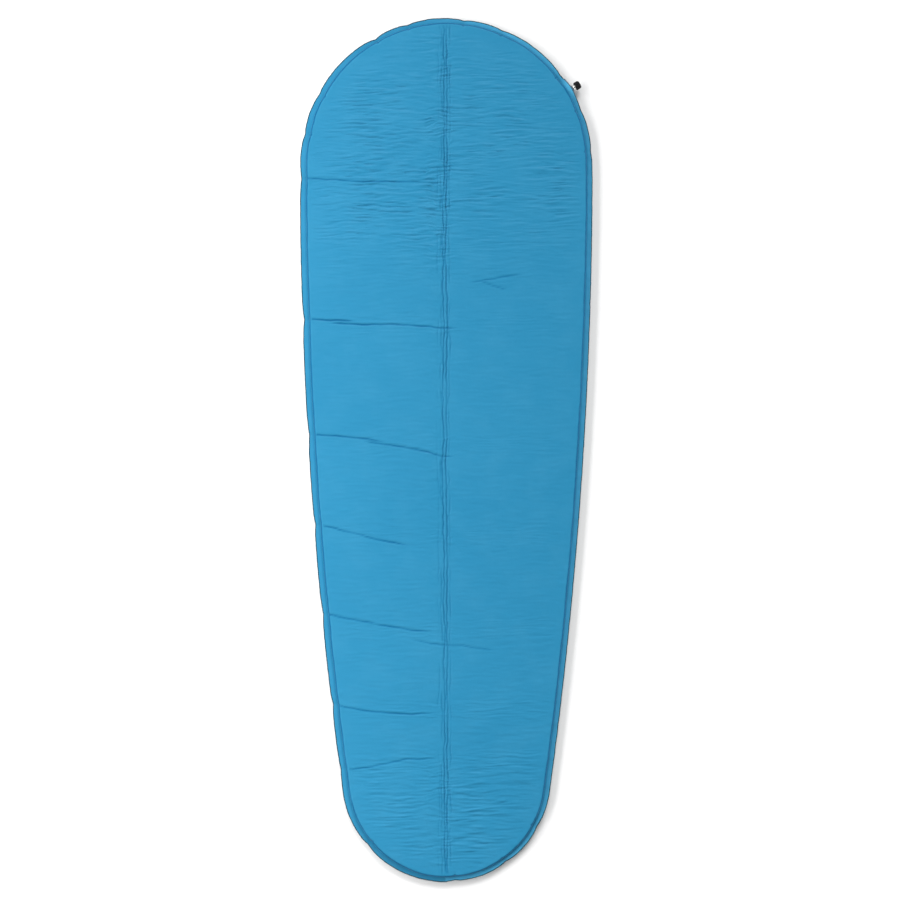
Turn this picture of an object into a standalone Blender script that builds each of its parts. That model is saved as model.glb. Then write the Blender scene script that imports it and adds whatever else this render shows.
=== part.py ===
"""Self-inflating sleeping pad with a twist valve in its rim.

Metres, +Z up. The origin is at the centre of the underside, +Y points to the head end, and the valve
is on the +X side. The pad folds in half along the Y axis, so each sheet and the foam are made as a
left and a right half that meet at the fold line. The valve is modelled along its own +Z axis, under
an empty that lays that axis along the head end's radius.
"""

import math

import bmesh
import bpy
from mathutils import Matrix

# Pad
PAD_LENGTH = 1.800
HEAD_RADIUS = 0.305  # the round head end; its diameter is the pad's greatest width
FOOT_RADIUS = 0.218
THICKNESS = 0.030
SHEET = 0.0005  # thickness of a coated fabric sheet
RIM_WIDTH = 0.013  # width of the welded rim
WALL_REACH = 0.014  # how far the rounded side leans in from the rim to the flat top
GAP = 0.0003  # clearance between pieces that touch
WALL_STEPS = 3
HEAD_STEP = 5.0  # degrees between points round the head and the foot
SIDE_STEPS = 8

# Valve: distances along its axis are counted outward from the pad's edge
VALVE_ANGLE = 31.0  # degrees from +X, round the centre of the head end
BULGE_ANGLE = 6.0  # how far to each side of the valve the sheets bulge apart
BULGE_STEPS = 6
BOOT_HALF_HEIGHT = 0.0065
BOOT_STEPS = 5  # the boot fills this many of the bulge's steps to each side
BOOT_INSIDE = -0.0160
BOOT_OUTSIDE = 0.0025
TUBE_RADIUS = 0.0050
TUBE_BORE = 0.0035
TUBE_INSIDE = -0.0190
COLLAR_RADIUS = 0.0062
COLLAR_LENGTH = 0.0012
NECK_RADIUS = 0.0046
LAND_RADIUS = 0.0056  # the threaded land at the tube's outer end, which stops the retaining ring
LAND_LENGTH = 0.0020
CAP_RADIUS = 0.0085
CAP_INSIDE = 0.0080
CAP_LIP = 0.0007
CAP_END_WALL = 0.0016
CAP_CHAMFER = 0.0006
CAP_DOME_REACH = 0.0022  # the outer end is rounded over this far in from the cap's side
CAP_DOME_LENGTH = 0.0018
MOUTH_RADIUS = 0.0025
CAP_LIFT = 0.0034  # travel of the cap on its thread
FLUTES = 12
FLUTE_RADIUS = 0.0012
FLUTE_STANDOFF = 0.0007  # from the cap's side out to a flute's centre line
FLUTE_STOP = 0.0020  # the flutes end this far short of the cap's outer face
CAP_SEAL_CORD = 0.0008  # radius of the ring's cord
PLUG_SEAL_CORD = 0.00035
RETAINER_LENGTH = 0.0010
PIN_RADIUS = 0.0017
PIN_CHAMFER = 0.0005
PIN_SET_BACK = 0.0008  # from the cap's outer face in to the end of the pin
SHOULDER_REACH = 0.0010
SHOULDER_LENGTH = 0.0010
SHOULDER_TAPER = 0.0004
SPIDER_INSIDE = 0.0030  # from the land's inner end in to the spider
SPIDER_RADIUS = 0.0032
SPIDER_WALL = 0.0005
SPIDER_LENGTH = 0.0020
SPOKE_WIDTH = 0.0009
SPOKE_HEIGHT = 0.0016
SPOKE_OVERLAP = 0.0002
BORE_END_CLEAR = 0.010  # how far the boot's bore cutter stands out past the edge
NOTCH_CLEAR = 0.004  # room round the valve's inner end in the foam
TURN_STEPS = 32
SMALL_TURN_STEPS = 24
CAP_STEPS = 36
CORD_STEPS = 8
FLUTE_STEPS = 10

# Derived
HEAD_Y = PAD_LENGTH / 2 - HEAD_RADIUS
FOOT_Y = FOOT_RADIUS - PAD_LENGTH / 2
CENTRES_APART = HEAD_Y - FOOT_Y
SIDE_RADIUS = (CENTRES_APART**2 / (HEAD_RADIUS - FOOT_RADIUS) + HEAD_RADIUS + FOOT_RADIUS) / 2
SIDE_SWEEP = math.degrees(math.atan2(CENTRES_APART, SIDE_RADIUS - HEAD_RADIUS))
RIM_Z = THICKNESS / 2
WALL_HEIGHT = RIM_Z - SHEET - GAP / 2  # from the rim to the inner face of a sheet
GROOVE_INSIDE = CAP_INSIDE + CAP_LIP
RETAINER_INSIDE = GROOVE_INSIDE + 2 * GAP + 2 * CAP_SEAL_CORD
RETAINER_OUTSIDE = RETAINER_INSIDE + RETAINER_LENGTH
RETAINER_RADIUS = NECK_RADIUS + 2 * GAP + 2 * CAP_SEAL_CORD
GROOVE_OUTSIDE = RETAINER_OUTSIDE + GAP
GROOVE_RADIUS = RETAINER_RADIUS + GAP
LAND_INSIDE = RETAINER_OUTSIDE + CAP_LIFT + GAP
TUBE_OUTSIDE = LAND_INSIDE + LAND_LENGTH
CAP_FLOOR = TUBE_OUTSIDE + 2 * GAP  # the inner face of the cap's end wall
CAP_OUTSIDE = CAP_FLOOR + CAP_END_WALL


def clear_scene():
    for old in list(bpy.data.objects):
        bpy.data.objects.remove(old, do_unlink=True)


def collection(name):
    made = bpy.data.collections.new(name)
    bpy.context.scene.collection.children.link(made)
    return made


def material(name, colour, roughness, metallic=0.0):
    made = bpy.data.materials.new(name)
    made.use_nodes = True
    shader = made.node_tree.nodes["Principled BSDF"]
    shader.inputs["Base Color"].default_value = (*colour, 1.0)
    shader.inputs["Roughness"].default_value = roughness
    shader.inputs["Metallic"].default_value = metallic
    return made


def add_object(name, mesh, look, into, parent=None):
    made = bpy.data.objects.new(name, mesh)
    made.data.materials.append(look)
    into.objects.link(made)
    made.parent = parent
    return made


def mesh_from(name, bm):
    mesh = bpy.data.meshes.new(name)
    bm.to_mesh(mesh)
    bm.free()
    return mesh


# The pad's outline: a head arc, a foot arc and one long side arc tangent to both


def outline(with_valve):
    """Stations of the right half, from the head's top to the foot's end: centre, radius and angle."""
    angles = [HEAD_STEP * i for i in range(int(90 / HEAD_STEP), 0, -1)]
    if with_valve:
        bulge = [
            VALVE_ANGLE + BULGE_ANGLE * i / BULGE_STEPS for i in range(BULGE_STEPS, -BULGE_STEPS - 1, -1)
        ]
        before = [a for a in angles if a > bulge[0] + 1]
        after = [a for a in angles if a < bulge[-1] - 1]
        angles = before + bulge + after
    stations = [(0.0, HEAD_Y, HEAD_RADIUS, a) for a in angles]
    side_x = HEAD_RADIUS - SIDE_RADIUS
    for i in range(SIDE_STEPS):
        stations.append((side_x, HEAD_Y, SIDE_RADIUS, -SIDE_SWEEP * i / SIDE_STEPS))
    foot_steps = round((90 - SIDE_SWEEP) / HEAD_STEP)
    for i in range(foot_steps + 1):
        angle = -SIDE_SWEEP - (90 - SIDE_SWEEP) * i / foot_steps
        stations.append((0.0, FOOT_Y, FOOT_RADIUS, angle))
    return stations


def ring(stations, side, inset):
    """The outline moved in by inset, as (x, y) points on one side of the fold line."""
    points = []
    for centre_x, centre_y, radius, angle in stations:
        turn = math.radians(angle)
        x = centre_x + (radius - inset) * math.cos(turn)
        y = centre_y + (radius - inset) * math.sin(turn)
        points.append((side * max(x, GAP), y))
    return points


def bulge_height(angle):
    """How far each sheet is lifted off the rim's middle plane by the valve's boot."""
    away = abs(angle - VALVE_ANGLE) / BULGE_ANGLE
    if away >= 1:
        return 0.0
    return BOOT_HALF_HEIGHT * (1 + math.cos(math.pi * away)) / 2


def bulges(stations, with_valve):
    if not with_valve:
        return [0.0] * len(stations)
    return [
        bulge_height(angle) if radius == HEAD_RADIUS else 0.0 for _, _, radius, angle in stations
    ]


def wall_profile(inset, height):
    """Insets and rises of the rounded side, from the rim's inner edge to the flat."""
    turns = [math.pi / 2 * i / WALL_STEPS for i in range(WALL_STEPS + 1)]
    return [(inset + WALL_REACH * (1 - math.cos(t)), height * math.sin(t)) for t in turns]


def loft(bm, rings):
    """Bands of faces between rings of equal length, and the rings' vertices."""
    rows = [[bm.verts.new(point) for point in points] for points in rings]
    for lower, upper in zip(rows, rows[1:]):
        for i in range(len(lower) - 1):
            bm.faces.new((lower[i], lower[i + 1], upper[i + 1], upper[i]))
    return rows


def sheet_half(name, side, up, look, into):
    """Half a sheet: the flat rim, the rounded side and the flat face, thickened away from the foam."""
    with_valve = side > 0
    stations = outline(with_valve)
    lifts = bulges(stations, with_valve)
    rings = []
    for inset, rise in [(0.0, 0.0)] + wall_profile(RIM_WIDTH, WALL_HEIGHT):
        share = 1 - rise / WALL_HEIGHT  # the bulge at the valve dies out up the side
        heights = [RIM_Z + up * (GAP / 2 + rise + lift * share) for lift in lifts]
        rings.append([(x, y, z) for (x, y), z in zip(ring(stations, side, inset), heights)])
    bm = bmesh.new()
    rows = loft(bm, rings)
    bm.faces.new(rows[-1])
    bmesh.ops.recalc_face_normals(bm, faces=bm.faces)
    flat = max(bm.faces, key=lambda face: face.calc_area())
    flat.normal_update()
    if flat.normal.z * up < 0:
        bmesh.ops.reverse_faces(bm, faces=bm.faces)
    made = add_object(name, mesh_from(name, bm), look, into)
    thick = made.modifiers.new("fabric", "SOLIDIFY")
    thick.thickness = SHEET
    thick.offset = 1.0
    thick.use_even_offset = True
    thick.use_rim = True
    return made


def foam_half(name, side, look, into, cutter=None):
    stations = outline(side > 0)
    profile = wall_profile(RIM_WIDTH + GAP, WALL_HEIGHT - GAP)
    upper = [(inset, RIM_Z + GAP / 2 + rise) for inset, rise in profile]
    lower = [(inset, 2 * RIM_Z - z) for inset, z in reversed(upper)]
    rings = [[(x, y, z) for x, y in ring(stations, side, inset)] for inset, z in lower + upper]
    bm = bmesh.new()
    rows = loft(bm, rings)
    bm.faces.new(rows[0])
    bm.faces.new(rows[-1])
    bmesh.ops.holes_fill(bm, edges=bm.edges, sides=0)  # the flat face along the fold line
    bmesh.ops.recalc_face_normals(bm, faces=bm.faces)
    made = add_object(name, mesh_from(name, bm), look, into)
    if cutter:
        cut(made, cutter)
    return made


def cut(body, cutter, operation="DIFFERENCE"):
    tool = body.modifiers.new(cutter.name, "BOOLEAN")
    tool.operation = operation
    tool.solver = "EXACT"
    tool.object = cutter


def hide(cutter):
    cutter.hide_render = True
    cutter.display_type = "WIRE"


def box_cutter(name, size, centre, into, parent):
    bm = bmesh.new()
    bmesh.ops.create_cube(bm, size=1.0, matrix=Matrix.Translation(centre) @ Matrix.Diagonal((*size, 1)))
    made = bpy.data.objects.new(name, mesh_from(name, bm))
    into.objects.link(made)
    made.parent = parent
    hide(made)
    return made


def turned(name, profile, look, into, parent, closed=True, steps=TURN_STEPS):
    """A body turned about +Z from (radius, height) points that run down the outer side."""
    bm = bmesh.new()
    verts = [bm.verts.new((radius, 0, height)) for radius, height in profile]
    for first, second in zip(verts, verts[1:] + verts[:1] if closed else verts[1:]):
        bm.edges.new((first, second))
    made = add_object(name, mesh_from(name, bm), look, into, parent)
    spin = made.modifiers.new("turn", "SCREW")
    spin.steps = steps
    spin.render_steps = steps
    spin.use_merge_vertices = True
    spin.merge_threshold = 0.00001
    spin.use_smooth_shade = True
    return made


def seal_ring(name, radius, cord, height, look, into, parent):
    """A sealing ring: a round cord bent round the valve's axis."""
    turns = [2 * math.pi * i / CORD_STEPS for i in range(CORD_STEPS)]
    profile = [(radius + cord * math.cos(t), height - cord * math.sin(t)) for t in turns]
    return turned(name, profile, look, into, parent, steps=SMALL_TURN_STEPS)


def valve_boot(look, into, cutters, valve):
    """The weld-in boot: a lens between the two sheets with a round collar and a bore for the tube."""
    steps = range(-BOOT_STEPS, BOOT_STEPS + 1)
    angles = [VALVE_ANGLE + BULGE_ANGLE * i / BULGE_STEPS for i in steps]
    rings = []
    for out, up in ((BOOT_INSIDE, -1), (0.0, -1), (0.0, 1), (BOOT_INSIDE, 1), (BOOT_INSIDE, -1)):
        points = []
        for angle in angles:
            turn = math.radians(angle)
            reach = HEAD_RADIUS + out
            z = RIM_Z + up * (bulge_height(angle) - GAP / 2)
            points.append((reach * math.cos(turn), HEAD_Y + reach * math.sin(turn), z))
        rings.append(points)
    bm = bmesh.new()
    loft(bm, rings)
    bmesh.ops.remove_doubles(bm, verts=bm.verts, dist=0.00001)
    bmesh.ops.holes_fill(bm, edges=bm.edges, sides=0)
    bmesh.ops.recalc_face_normals(bm, faces=bm.faces)
    made = add_object("valve_boot", mesh_from("valve_boot", bm), look, into)
    collar_radius = BOOT_HALF_HEIGHT - GAP
    collar_inside = BOOT_OUTSIDE - 2 * BOOT_HALF_HEIGHT
    collar_profile = [
        (0.0, BOOT_OUTSIDE),
        (collar_radius, BOOT_OUTSIDE),
        (collar_radius, collar_inside),
        (0.0, collar_inside),
    ]
    collar = turned("boot_collar", collar_profile, look, cutters, valve, closed=False)
    bore_radius = TUBE_RADIUS + GAP
    bore_inside = BOOT_INSIDE - BORE_END_CLEAR
    bore_profile = [
        (0.0, BORE_END_CLEAR),
        (bore_radius, BORE_END_CLEAR),
        (bore_radius, bore_inside),
        (0.0, bore_inside),
    ]
    bore = turned("boot_bore", bore_profile, look, cutters, valve, closed=False)
    hide(collar)
    hide(bore)
    cut(made, collar, "UNION")
    cut(made, bore)
    return made


def valve_body(look, into, valve):
    """The tube: an inner head behind the boot, a collar outside it, a neck and the threaded land."""
    head_outside = BOOT_INSIDE - GAP
    head_inside = head_outside - COLLAR_LENGTH
    collar_inside = BOOT_OUTSIDE + GAP
    collar_outside = collar_inside + COLLAR_LENGTH
    profile = [
        (TUBE_BORE, TUBE_OUTSIDE),
        (LAND_RADIUS, TUBE_OUTSIDE),
        (LAND_RADIUS, LAND_INSIDE),
        (NECK_RADIUS, LAND_INSIDE),
        (NECK_RADIUS, collar_outside),
        (COLLAR_RADIUS, collar_outside),
        (COLLAR_RADIUS, collar_inside),
        (TUBE_RADIUS, collar_inside),
        (TUBE_RADIUS, head_outside),
        (COLLAR_RADIUS, head_outside),
        (COLLAR_RADIUS, head_inside),
        (NECK_RADIUS, TUBE_INSIDE),
        (TUBE_BORE, TUBE_INSIDE),
    ]
    return turned("valve_body", profile, look, into, valve)


def valve_plug(look, into, cutters, valve):
    """The pin that closes the cap's mouth, on a ring with three spokes inside the tube."""
    pin_inside = LAND_INSIDE - SPIDER_INSIDE
    pin_outside = CAP_OUTSIDE - PIN_SET_BACK
    shoulder = CAP_FLOOR - 2 * PLUG_SEAL_CORD - 2 * GAP
    shoulder_inside = shoulder - SHOULDER_LENGTH
    profile = [
        (0.0, pin_outside),
        (PIN_RADIUS - PIN_CHAMFER, pin_outside),
        (PIN_RADIUS, pin_outside - PIN_CHAMFER),
        (PIN_RADIUS, shoulder),
        (PIN_RADIUS + SHOULDER_REACH, shoulder),
        (PIN_RADIUS + SHOULDER_REACH, shoulder_inside),
        (PIN_RADIUS, shoulder_inside - SHOULDER_TAPER),
        (PIN_RADIUS, pin_inside),
        (0.0, pin_inside),
    ]
    made = turned("valve_plug", profile, look, into, valve, closed=False, steps=SMALL_TURN_STEPS)
    spider_outside = pin_inside + SPIDER_LENGTH
    spider_bore = SPIDER_RADIUS - SPIDER_WALL
    hoop_profile = [
        (spider_bore, spider_outside),
        (SPIDER_RADIUS, spider_outside),
        (SPIDER_RADIUS, pin_inside),
        (spider_bore, pin_inside),
    ]
    hoop = turned("plug_hoop", hoop_profile, look, cutters, valve, steps=SMALL_TURN_STEPS)
    hide(hoop)
    spoke_length = spider_bore + SPOKE_OVERLAP
    for i in range(3):
        spoke = box_cutter(
            f"plug_spoke_{i}",
            (spoke_length, SPOKE_WIDTH, SPOKE_HEIGHT),
            (spoke_length / 2, 0, pin_inside + SPIDER_LENGTH / 2),
            cutters,
            valve,
        )
        spoke.rotation_euler.z = 2 * math.pi * i / 3
        cut(made, spoke, "UNION")
    cut(made, hoop, "UNION")
    return made


def valve_cap(look, into, cutters, valve):
    """The twist cap: a fluted cup with a mouth hole and a groove for its seal and retaining ring."""
    bore = LAND_RADIUS + GAP
    profile = [
        (MOUTH_RADIUS, CAP_OUTSIDE),
        (CAP_RADIUS - CAP_DOME_REACH, CAP_OUTSIDE),
        (CAP_RADIUS - CAP_CHAMFER, CAP_OUTSIDE - CAP_CHAMFER),
        (CAP_RADIUS, CAP_OUTSIDE - CAP_DOME_LENGTH),
        (CAP_RADIUS, CAP_INSIDE + CAP_CHAMFER),
        (CAP_RADIUS - CAP_CHAMFER, CAP_INSIDE),
        (bore, CAP_INSIDE),
        (bore, GROOVE_INSIDE),
        (GROOVE_RADIUS, GROOVE_INSIDE),
        (GROOVE_RADIUS, GROOVE_OUTSIDE),
        (bore, GROOVE_OUTSIDE),
        (bore, CAP_FLOOR),
        (MOUTH_RADIUS, CAP_FLOOR),
    ]
    made = turned("valve_cap", profile, look, into, valve, steps=CAP_STEPS)
    bm = bmesh.new()
    bmesh.ops.create_cone(
        bm,
        cap_ends=True,
        segments=FLUTE_STEPS,
        radius1=FLUTE_RADIUS,
        radius2=FLUTE_RADIUS,
        depth=2 * (CAP_OUTSIDE - FLUTE_STOP - CAP_INSIDE),
        matrix=Matrix.Translation((CAP_RADIUS + FLUTE_STANDOFF, 0, CAP_INSIDE)),
    )
    flute = mesh_from("flute", bm)
    for i in range(FLUTES):
        cutter = bpy.data.objects.new(f"flute_{i}", flute)
        cutters.objects.link(cutter)
        cutter.parent = valve
        cutter.rotation_euler.z = 2 * math.pi * i / FLUTES
        hide(cutter)
        cut(made, cutter)
    return made


def cap_retainer(look, into, valve):
    bore = NECK_RADIUS + GAP
    profile = [
        (bore, RETAINER_OUTSIDE),
        (RETAINER_RADIUS, RETAINER_OUTSIDE),
        (RETAINER_RADIUS, RETAINER_INSIDE),
        (bore, RETAINER_INSIDE),
    ]
    return turned("cap_retaining_ring", profile, look, into, valve)


def main():
    clear_scene()
    pad = collection("sleeping_pad")
    cutters = collection("cutters")

    top_fabric = material("top_fabric", (0.055, 0.30, 0.56), 0.55)
    bottom_fabric = material("bottom_fabric", (0.10, 0.12, 0.14), 0.6)
    foam = material("foam", (0.86, 0.83, 0.72), 0.9)
    boot_tpu = material("boot_tpu", (0.03, 0.10, 0.16), 0.5)
    nickel = material("nickel", (0.72, 0.71, 0.68), 0.3, 1.0)
    black_plastic = material("black_plastic", (0.015, 0.015, 0.017), 0.4)
    seal_rubber = material("seal_rubber", (0.02, 0.02, 0.02), 0.7)

    valve = bpy.data.objects.new("valve_axis", None)
    pad.objects.link(valve)
    turn = math.radians(VALVE_ANGLE)
    valve.location = (HEAD_RADIUS * math.cos(turn), HEAD_Y + HEAD_RADIUS * math.sin(turn), RIM_Z)
    valve.rotation_euler = (0, math.pi / 2, turn)  # the valve's +Z points outward along the radius

    notch_depth = NOTCH_CLEAR - TUBE_INSIDE
    notch_height = 2 * BOOT_HALF_HEIGHT + NOTCH_CLEAR / 2
    notch_width = 2 * HEAD_RADIUS * math.sin(math.radians(BULGE_ANGLE))
    notch_size = (notch_height, notch_width, notch_depth)
    notch = box_cutter("foam_notch", notch_size, (0, 0, -notch_depth / 2), cutters, valve)

    sides = (("left", -1), ("right", 1))
    for label, side in sides:
        sheet_half(f"top_sheet_{label}", side, 1, top_fabric, pad)
        sheet_half(f"bottom_sheet_{label}", side, -1, bottom_fabric, pad)
        foam_half(f"foam_core_{label}", side, foam, pad, notch if side > 0 else None)

    valve_boot(boot_tpu, pad, cutters, valve)
    valve_body(nickel, pad, valve)
    valve_plug(black_plastic, pad, cutters, valve)
    valve_cap(black_plastic, pad, cutters, valve)
    cap_retainer(black_plastic, pad, valve)
    seal_height = GROOVE_INSIDE + GAP + CAP_SEAL_CORD
    seal_radius = NECK_RADIUS + GAP + CAP_SEAL_CORD
    seal_ring("cap_seal", seal_radius, CAP_SEAL_CORD, seal_height, seal_rubber, pad, valve)
    plug_seal_radius = PIN_RADIUS + GAP + PLUG_SEAL_CORD
    plug_seal_height = CAP_FLOOR - GAP - PLUG_SEAL_CORD
    seal_ring("plug_seal", plug_seal_radius, PLUG_SEAL_CORD, plug_seal_height, seal_rubber, pad, valve)


main()
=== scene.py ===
import math

import bmesh
import bpy
import numpy as np
from mathutils import Matrix, Vector
from mathutils.geometry import delaunay_2d_cdt


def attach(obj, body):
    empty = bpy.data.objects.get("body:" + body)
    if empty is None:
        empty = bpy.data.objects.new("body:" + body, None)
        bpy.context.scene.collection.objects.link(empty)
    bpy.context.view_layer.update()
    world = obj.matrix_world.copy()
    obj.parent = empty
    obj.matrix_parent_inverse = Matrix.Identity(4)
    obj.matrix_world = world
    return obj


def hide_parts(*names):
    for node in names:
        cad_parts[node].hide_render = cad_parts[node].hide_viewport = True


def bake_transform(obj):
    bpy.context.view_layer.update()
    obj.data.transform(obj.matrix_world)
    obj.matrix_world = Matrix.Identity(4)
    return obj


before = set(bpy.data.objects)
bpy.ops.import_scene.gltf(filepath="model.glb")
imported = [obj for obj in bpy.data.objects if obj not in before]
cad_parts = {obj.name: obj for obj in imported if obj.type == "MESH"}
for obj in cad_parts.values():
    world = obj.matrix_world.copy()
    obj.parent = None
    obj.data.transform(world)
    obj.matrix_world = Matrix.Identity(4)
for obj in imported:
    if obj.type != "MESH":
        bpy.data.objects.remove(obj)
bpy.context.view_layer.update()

MM = 0.001

# The pad, as in the CAD source
PAD_LENGTH = 1.8
HEAD_RADIUS = 0.305
FOOT_RADIUS = 0.218
THICKNESS = 0.03
HEAD_Y = PAD_LENGTH / 2 - HEAD_RADIUS
FOOT_Y = FOOT_RADIUS - PAD_LENGTH / 2
CENTRES_APART = HEAD_Y - FOOT_Y
SIDE_RADIUS = (CENTRES_APART**2 / (HEAD_RADIUS - FOOT_RADIUS) + HEAD_RADIUS + FOOT_RADIUS) / 2
SIDE_SWEEP = math.atan2(CENTRES_APART, SIDE_RADIUS - HEAD_RADIUS)
RIM_Z = THICKNESS / 2

# Lengths along half of the outline, from the head's top to the foot's end
HEAD_RUN = HEAD_RADIUS * math.pi / 2
SIDE_RUN = SIDE_RADIUS * SIDE_SWEEP
FOOT_RUN = FOOT_RADIUS * (math.pi / 2 - SIDE_SWEEP)
HALF_RUN = HEAD_RUN + SIDE_RUN + FOOT_RUN

# The valve, as in the CAD source: distances along its axis run outward from the pad's edge
VALVE_ANGLE = math.radians(31.0)
BULGE_ANGLE = math.radians(6.0)
BOOT_ANGLE = math.radians(5.0)
BOOT_HALF_HEIGHT = 0.0065
VALVE_RUN = (math.pi / 2 - VALVE_ANGLE) * HEAD_RADIUS

# The sheets
RIM_HALF = 0.65 * MM  # half the thickness of the two sheets welded together
EDGE_GAP = 0.04 * MM  # half the gap left between the two cut edges
EDGE_ROOM = 1.4 * MM  # the cut edges stay this far inside the pad's outline
BOTTOM_PROUD = 2.0 * MM  # the bottom sheet's cut edge shows this far outside the top sheet's
WALL_REACH = 0.0062  # width of the rounded side, from the weld to the face
WALL_OVERHANG = 1.6 * MM  # the rounded side swells out over the weld by this much
RIM_CURL = 1.0 * MM  # rise of the welded edge towards its cut
RIM_BROAD = 0.0125
RIM_NARROW = 0.0108
INNER_RINGS = (0.003, 0.0065)  # extra rings between the rounded side and the face's grid
TOP_Z = 0.0293  # plain height of the top face
BOTTOM_Z = 0.0005
EDGE_STEP = 3.3 * MM  # spacing of the points along the edge, and beside the valve
EDGE_FINE = 1.6 * MM
GRID_GAP = 1.6 * MM  # least gap between the innermost ring and the grid

# The foam core
FOAM_LOW = BOTTOM_Z + 1.2 * MM
FOAM_HIGH = TOP_Z - 3.6 * MM
FOAM_DIP = 1.8 * MM  # how much further its faces draw in at the fold line


def smooth(low, high, value):
    share = np.clip((value - low) / (high - low), 0.0, 1.0)
    return share * share * (3 - 2 * share)


def noise(x, y, seed):
    """Gradient noise from about -1 to 1 with one feature for each unit of x and y."""
    ix = np.floor(x).astype(np.int64)
    iy = np.floor(y).astype(np.int64)
    fx = x - ix
    fy = y - iy
    sx = fx * fx * fx * (fx * (fx * 6 - 15) + 10)
    sy = fy * fy * fy * (fy * (fy * 6 - 15) + 10)

    def corner(cx, cy):
        mixed = ((ix + cx) * 73856093) ^ ((iy + cy) * 19349663) ^ (seed * 83492791)
        mixed = (mixed ^ (mixed >> 13)) & 0x7FFFFFFF
        mixed = (mixed * 1274126177) & 0xFFFFFFFF
        mixed = mixed ^ (mixed >> 15)
        angle = (mixed & 0xFFFF) * (2 * math.pi / 65536)
        return np.cos(angle) * (fx - cx) + np.sin(angle) * (fy - cy)

    low = corner(0, 0) * (1 - sx) + corner(1, 0) * sx
    high = corner(0, 1) * (1 - sx) + corner(1, 1) * sx
    return 1.5 * (low * (1 - sy) + high * sy)


def mesh_of(name, points, faces):
    mesh = bpy.data.meshes.new(name)
    mesh.from_pydata(points.tolist(), [], faces)
    return mesh


def placed(name, data):
    made = bpy.data.objects.new(name, data)
    bpy.context.scene.collection.objects.link(made)
    return made


def coordinates(mesh):
    co = np.zeros(len(mesh.vertices) * 3)
    mesh.vertices.foreach_get("co", co)
    return co.reshape(-1, 3)


def store(mesh, name, values):
    layer = mesh.attributes.new(name, "FLOAT", "POINT")
    layer.data.foreach_set("value", values.astype(np.float32))


# ---- outline


def outline(s):
    """Points of the outline and its outward direction. s runs along it from the head's top, and is
    negative on the left side."""
    t = np.abs(s)
    side = np.where(s < 0, -1.0, 1.0)
    head = t <= HEAD_RUN
    foot = t > HEAD_RUN + SIDE_RUN
    at_head = math.pi / 2 - t / HEAD_RADIUS
    at_foot = -SIDE_SWEEP - (t - HEAD_RUN - SIDE_RUN) / FOOT_RADIUS
    angle = np.select([head, foot], [at_head, at_foot], -(t - HEAD_RUN) / SIDE_RADIUS)
    radius = np.select([head, foot], [HEAD_RADIUS, FOOT_RADIUS], SIDE_RADIUS)
    centre_x = np.where(head | foot, 0.0, HEAD_RADIUS - SIDE_RADIUS)
    centre_y = np.where(foot, FOOT_Y, HEAD_Y)
    out_x = np.cos(angle)
    out_y = np.sin(angle)
    return side * (centre_x + radius * out_x), centre_y + radius * out_y, side * out_x, out_y


def inset_and_run(x, y):
    """How far inside the outline a point is, and the s of the nearest point of the outline."""
    ax = np.abs(x)
    head_angle = np.arctan2(y - HEAD_Y, ax)
    side_angle = np.arctan2(HEAD_Y - y, ax - (HEAD_RADIUS - SIDE_RADIUS))
    foot_angle = np.arctan2(FOOT_Y - y, ax)
    head = y >= HEAD_Y
    foot = ~head & (side_angle > SIDE_SWEEP)
    at_head = HEAD_RADIUS - np.hypot(ax, y - HEAD_Y)
    at_foot = FOOT_RADIUS - np.hypot(ax, y - FOOT_Y)
    at_side = SIDE_RADIUS - np.hypot(ax - (HEAD_RADIUS - SIDE_RADIUS), y - HEAD_Y)
    inset = np.select([head, foot], [at_head, at_foot], at_side)
    at_head = HEAD_RADIUS * (math.pi / 2 - head_angle)
    at_foot = HEAD_RUN + SIDE_RUN + FOOT_RADIUS * (foot_angle - SIDE_SWEEP)
    t = np.select([head, foot], [at_head, at_foot], HEAD_RUN + SIDE_RADIUS * side_angle)
    return inset, np.where(x < 0, -t, t)


def head_run(degrees):
    """s of a point of the head's arc, at an angle from +X round the head's centre."""
    return HEAD_RADIUS * math.radians(90 - degrees)


def foot_run(degrees):
    """s of a point of the foot's arc, at an angle below +X round the foot's centre."""
    side = 1 if degrees < 90 else -1
    below = math.radians(degrees if side > 0 else 180 - degrees)
    return side * (HEAD_RUN + SIDE_RUN + FOOT_RADIUS * (below - SIDE_SWEEP))


def left_run(y):
    """s of the left side's point at that y."""
    return -(HEAD_RUN + SIDE_RADIUS * math.asin((HEAD_Y - y) / SIDE_RADIUS))


# Where the welded edge is drawn in: place, depth of the notch in mm, and the length in m over which its
# fold up the rounded side fades (0 for no fold)
PUCKERS = (
    (head_run(168), 3.0, 0.06),
    (head_run(151), 1.8, 0.03),
    (head_run(119.5), 3.9, 0.06),
    (head_run(105.5), 2.8, 0.045),
    (head_run(83), 2.4, 0.04),
    (head_run(67), 1.8, 0.03),
    (head_run(38), 2.2, 0.04),
    (head_run(22), 1.6, 0.03),
    (head_run(5), 1.6, 0.04),
    (foot_run(139.5), 2.4, 0.035),
    (foot_run(85), 2.0, 0.03),
    (foot_run(55), 2.2, 0.035),
    (foot_run(28.5), 2.0, 0.03),
    (left_run(0.564), 2.4, 0),
    (left_run(0.271), 2.8, 0),
    (left_run(0.0315), 2.4, 0),
    (left_run(-0.1565), 2.2, 0),
    (left_run(-0.3415), 2.2, 0),
    (left_run(-0.53), 2.2, 0),
    (left_run(-0.664), 1.8, 0),
)
NOTCH_REACH = 0.019
NOTCH_SCALE = 1.35
NOTCH_ROUND = 0.0015


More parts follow.
